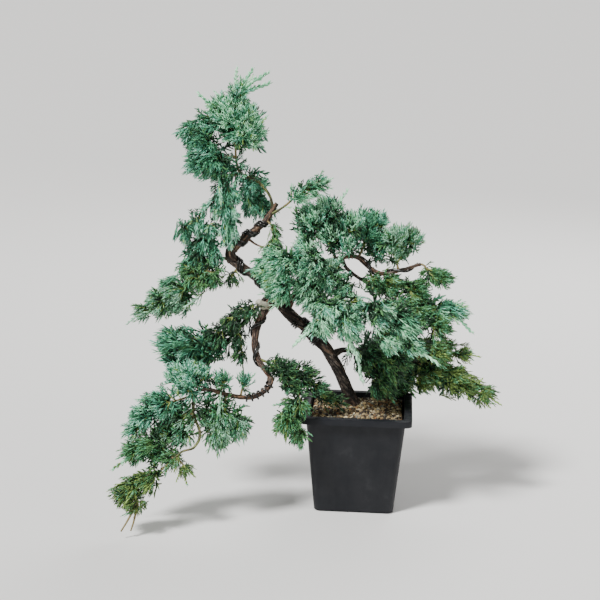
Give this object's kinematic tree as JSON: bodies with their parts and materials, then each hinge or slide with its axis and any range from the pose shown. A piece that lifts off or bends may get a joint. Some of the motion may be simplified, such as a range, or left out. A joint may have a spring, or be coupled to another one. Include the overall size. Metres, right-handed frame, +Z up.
{
  "type": "blue juniper bonsai in a square nursery pot",
  "caption": "Blue juniper bonsai in semi-cascade style: leaning wired trunk, hanging left bough, open blue-green crown, standing in a square dark plastic pot.",
  "frame": {"origin": "centre of the flat underside of the pot", "axes": "+Z up, -Y towards the front of the tree as pictured, +X to the right seen from the front"},
  "size_m": [0.437, 0.2593, 0.511],
  "materials": {
    "bark": "furrowed grey-brown bark",
    "young_bark": "flaking orange-brown bark",
    "green_stem": "smooth yellow-green young wood",
    "deadwood": "pale dry dead wood",
    "wire": "black anodised, satin",
    "pot_plastic": "matt dark grey, lightly scuffed",
    "soil_grit": "loose tan, cream and brown grit",
    "mint": "pale waxy blue-green scale leaves",
    "blue_green": "blue-green scale leaves",
    "sea_green": "mid green scale leaves",
    "deep_green": "shaded dark green scale leaves",
    "olive": "olive to yellow-green scale leaves"
  },
  "bodies": {
    "root": {"pot": "pot_plastic", "soil": "soil_grit", "trunk": "bark", "upper_trunk": "young_bark", "leader": "bark", "left_arch": "green_stem", "right_shoot": "green_stem", "left_upper": "green_stem", "right_thin": "young_bark", "cascade_upper": "bark", "cascade_middle": "young_bark", "cascade_lower": "green_stem", "dead_stub": "deadwood", "left_middle": "bark", "pot_side": "green_stem", "right_bough": "young_bark", "inner_bough": "bark", "front_bough": "bark", "low_bough": "bark", "wire_upper_trunk": "wire", "wire_cascade": "wire", "wire_bend": "wire", "apex_top": "mint", "apex_left": "blue_green", "hang_front": "mint", "hang_back": "mint", "hang_left": "blue_green", "shoot_tip": "mint", "sprig_under": "sea_green", "knuckle_tuft": "deep_green", "left_inner": "olive", "left_outer": "sea_green", "brush": "blue_green", "brush_dark": "deep_green", "crown_top": "mint", "crown_back": "blue_green", "crown_fine": "mint", "crown_end": "sea_green", "centre_left": "mint", "centre_right": "mint", "front_left": "mint", "front_right": "mint", "mid_right": "sea_green", "far_right": "sea_green", "under_front": "deep_green", "under_back": "deep_green", "low_right": "olive", "low_right_upper": "olive", "cascade_top": "mint", "cascade_tuft": "blue_green", "bend_tuft": "blue_green", "cascade_left": "blue_green", "cascade_pale": "mint", "cascade_centre": "olive", "cascade_low": "sea_green", "cascade_tail": "olive", "cascade_sprig": "olive", "pot_side_upper": "olive", "pot_side_lower": "sea_green"}
  },
  "joints": []
}
